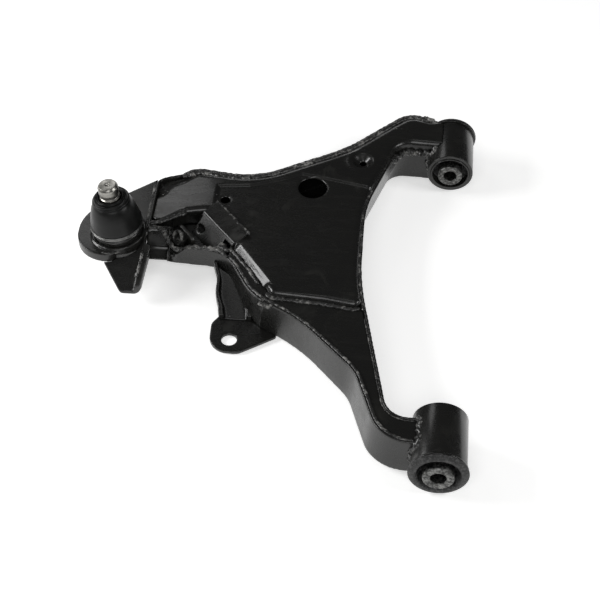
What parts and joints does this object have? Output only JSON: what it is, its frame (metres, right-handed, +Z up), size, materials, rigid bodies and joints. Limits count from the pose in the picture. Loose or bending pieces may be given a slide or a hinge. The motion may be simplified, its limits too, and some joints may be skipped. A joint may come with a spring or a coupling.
{
  "type": "suspension control arm",
  "caption": "Boxed lower suspension control arm with two rubber pivot bushes, a shock absorber pocket, a stabilizer link plate and a pinch-type ball joint.",
  "frame": {"origin": "centre of the rear (large) bush's bore, half way along its inner sleeve", "axes": "+Y along the pivot axis from the rear bush to the front bush, +X inboard towards the vehicle, +Z up; the ball joint is outboard, at -X"},
  "size_m": [0.44, 0.5211, 0.1176],
  "materials": {
    "black_paint": "glossy black paint over pressed steel",
    "bush_rubber": "matt moulded rubber",
    "boot_rubber": "satin moulded rubber",
    "zinc_sleeve": "dull plated steel",
    "stud_steel": "turned bare steel",
    "spring_steel": "blackened steel",
    "polymer": "plain moulded"
  },
  "bodies": {
    "arm": {"ball_joint_cap": "black_paint", "ball_joint_carrier": "black_paint", "ball_joint_housing": "black_paint", "boot_lower_ring": "spring_steel", "dust_boot": "boot_rubber", "front_bush_rubber": "bush_rubber", "front_bush_shell": "black_paint", "front_eye": "black_paint", "front_eye_weld": "black_paint", "link_gusset": "black_paint", "link_plate": "black_paint", "lower_shell": "black_paint", "pocket_pan": "black_paint", "rear_bush_rubber": "bush_rubber", "rear_bush_shell": "black_paint", "rear_eye": "black_paint", "rear_eye_weld": "black_paint", "rear_leg_plate": "black_paint", "rim_weld": "black_paint", "shock_ear": "black_paint", "shock_saddle": "black_paint", "shock_weld_nut": "black_paint", "steering_stop": "black_paint", "upper_shell": "black_paint", "web_weld": "black_paint"},
    "ball_seat": {"ball_seat": "polymer"},
    "stud_tilt": {"boot_upper_clip": "spring_steel"},
    "stud": {"ball_stud": "stud_steel"},
    "rear_sleeve": {"rear_inner_sleeve": "zinc_sleeve"},
    "front_sleeve": {"front_inner_sleeve": "zinc_sleeve"}
  },
  "joints": [
    {"name": "rear_bush_twist", "type": "hinge", "parent": "arm", "child": "rear_sleeve", "pos_m": [0, 0, 0], "axis": [0, 1, 0], "range_deg": [-25, 25], "stiffness_Nm_per_rad": 60},
    {"name": "front_bush_twist", "type": "hinge", "parent": "arm", "child": "front_sleeve", "pos_m": [0, 0.435, 0], "axis": [0, 1, 0], "range_deg": [-25, 25], "stiffness_Nm_per_rad": 40},
    {"name": "ball_swivel", "type": "hinge", "parent": "arm", "child": "ball_seat", "pos_m": [-0.363, 0.2585, 0.012], "axis": [-0.1045, 0, 0.9945], "range_deg": [-90, 90]},
    {"name": "ball_tilt", "type": "hinge", "parent": "ball_seat", "child": "stud_tilt", "pos_m": [-0.363, 0.2585, 0.012], "axis": [0, 1, 0], "range_deg": [-25, 25], "deforming": ["dust_boot"]},
    {"name": "stud_spin", "type": "hinge", "parent": "stud_tilt", "child": "stud", "pos_m": [-0.363, 0.2585, 0.012], "axis": [-0.1045, 0, 0.9945], "continuous": true}
  ]
}
